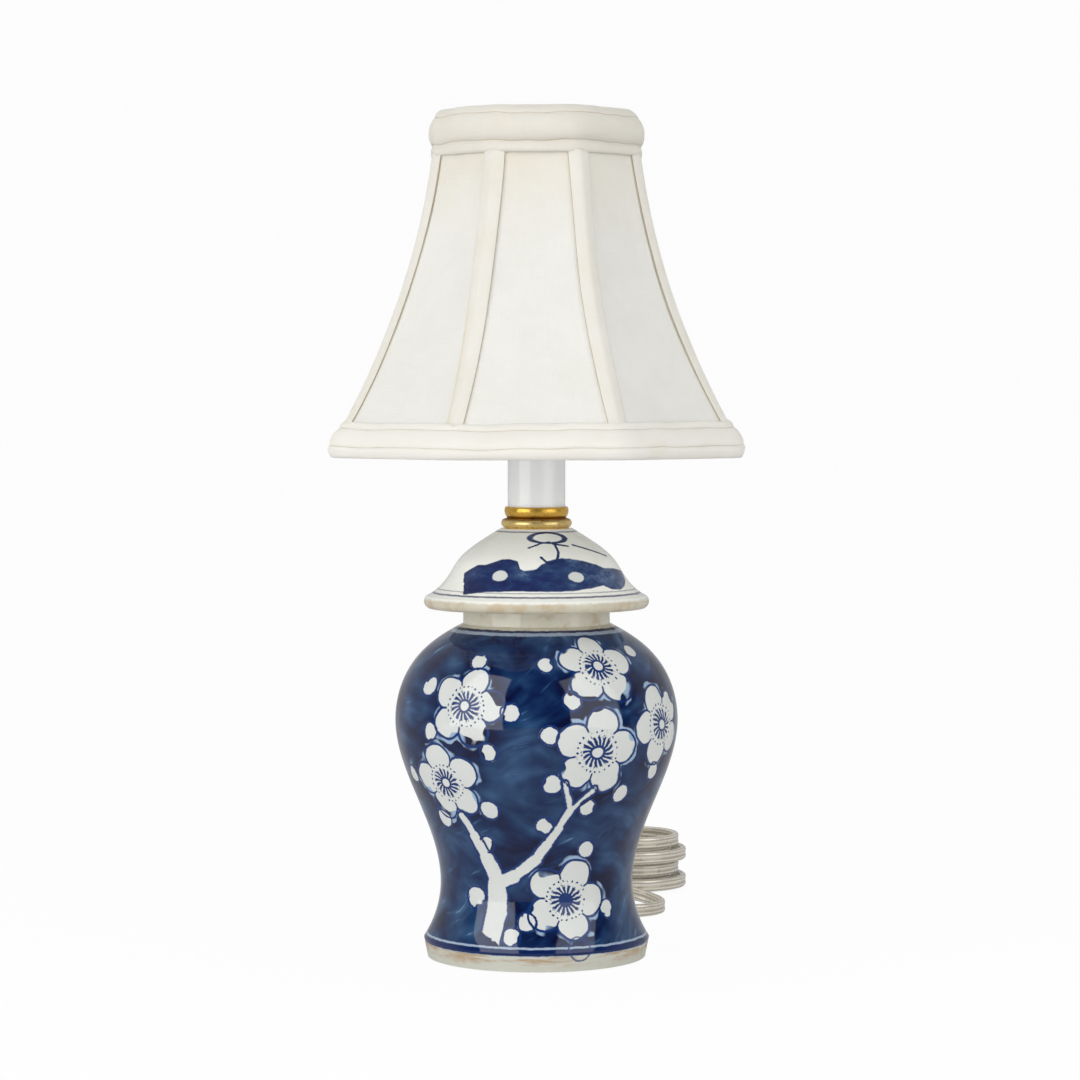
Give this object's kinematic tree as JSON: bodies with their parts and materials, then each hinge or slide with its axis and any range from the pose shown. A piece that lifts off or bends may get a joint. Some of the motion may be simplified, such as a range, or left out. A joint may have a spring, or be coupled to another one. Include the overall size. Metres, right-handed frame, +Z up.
{
  "type": "jar table lamp",
  "caption": "Table lamp with a blue and white porcelain jar body and lid, brass rings, a candle sleeve and a bell-shaped panelled cloth shade that clips on the bulb.",
  "frame": {"origin": "middle of the jar's foot, on the table", "axes": "+Z up along the lamp's pipe, +Y towards the back where the cord leaves, +X to the right"},
  "size_m": [0.153, 0.2751, 0.3147],
  "materials": {
    "porcelain": "clear glaze over a cobalt blue and white painting",
    "steel": "plain zinc plated",
    "rubber": "matte moulded",
    "brass": "polished",
    "sleeve_plastic": "glossy white",
    "socket_plastic": "moulded black",
    "cord_plastic": "clear jacket over silver strands",
    "wire_plastic": "smooth",
    "bulb_insulator": "black vitrite",
    "clear_glass": "clear blown",
    "filament": "fine wire",
    "shade_cloth": "stretched off-white cloth",
    "lining_cloth": "thin plain lining",
    "trim_cloth": "cream bias tape",
    "switch_plastic": "ivory moulding",
    "tie_plastic": "flat band",
    "plug_plastic": "moulded"
  },
  "bodies": {
    "lamp": {"jar_body": "porcelain", "jar_lid": "porcelain", "lamp_pipe": "steel", "base_washer": "steel", "pipe_nuts": "steel", "socket_bracket": "steel", "switch_screws": "steel", "base_rubber_washer": "rubber", "cord_bushing": "rubber", "brass_collar": "brass", "brass_cup": "brass", "socket_shell": "brass", "socket_contact": "brass", "plug_blades": "brass", "candle_sleeve": "sleeve_plastic", "candle_socket": "socket_plastic", "inner_lead": "cord_plastic", "cord_lead": "cord_plastic", "cord_link": "cord_plastic", "cord_hank": "cord_plastic", "cord_tail": "cord_plastic", "socket_wires": "wire_plastic", "switch_base": "switch_plastic", "switch_cover": "switch_plastic", "hank_tie": "tie_plastic", "plug_body": "plug_plastic"},
    "bulb_carrier": {"bulb_insulator": "bulb_insulator", "bulb_contact": "brass"},
    "bulb": {"bulb_cap": "brass", "bulb_glass": "clear_glass", "bulb_stem": "clear_glass", "bulb_filament": "filament"},
    "clip": {"bulb_clip": "steel", "clip_rivet": "steel"},
    "shade": {"shade_spider": "steel", "shade_top_ring": "steel", "shade_bottom_ring": "steel", "shade_ribs": "steel", "shade_lining": "lining_cloth", "top_trim": "trim_cloth", "bottom_trim": "trim_cloth", "shade_panel_1": "shade_cloth", "shade_panel_2": "shade_cloth", "shade_panel_3": "shade_cloth", "shade_panel_4": "shade_cloth", "shade_panel_5": "shade_cloth", "shade_panel_6": "shade_cloth", "shade_panel_7": "shade_cloth", "shade_panel_8": "shade_cloth", "shade_band_1": "trim_cloth", "shade_band_2": "trim_cloth", "shade_band_3": "trim_cloth", "shade_band_4": "trim_cloth", "shade_band_5": "trim_cloth", "shade_band_6": "trim_cloth", "shade_band_7": "trim_cloth", "shade_band_8": "trim_cloth"},
    "switch_wheel": {"switch_wheel": "switch_plastic"}
  },
  "joints": [
    {"name": "bulb_rise", "type": "slide", "parent": "lamp", "child": "bulb_carrier", "axis": [0, 0, 1], "range_m": [0, 0.0102]},
    {"name": "bulb_turn", "type": "hinge", "parent": "bulb_carrier", "child": "bulb", "pos_m": [0, 0, 0.211], "axis": [0, 0, 1], "range_deg": [0, 1440]},
    {"name": "clip_pull", "type": "slide", "parent": "bulb", "child": "clip", "axis": [0, 0, 1], "range_m": [0, 0.12]},
    {"name": "shade_swivel", "type": "hinge", "parent": "clip", "child": "shade", "pos_m": [0, 0, 0.3027], "axis": [0, 0, 1], "continuous": true},
    {"name": "switch_wheel_turn", "type": "hinge", "parent": "lamp", "child": "switch_wheel", "pos_m": [0.007, 0.122, 0.007], "axis": [0, 0, 1], "continuous": true}
  ],
  "couplings": [
    {"joint": "bulb_rise", "follows": "bulb_turn", "m_per_rad": 0.00040425}
  ]
}
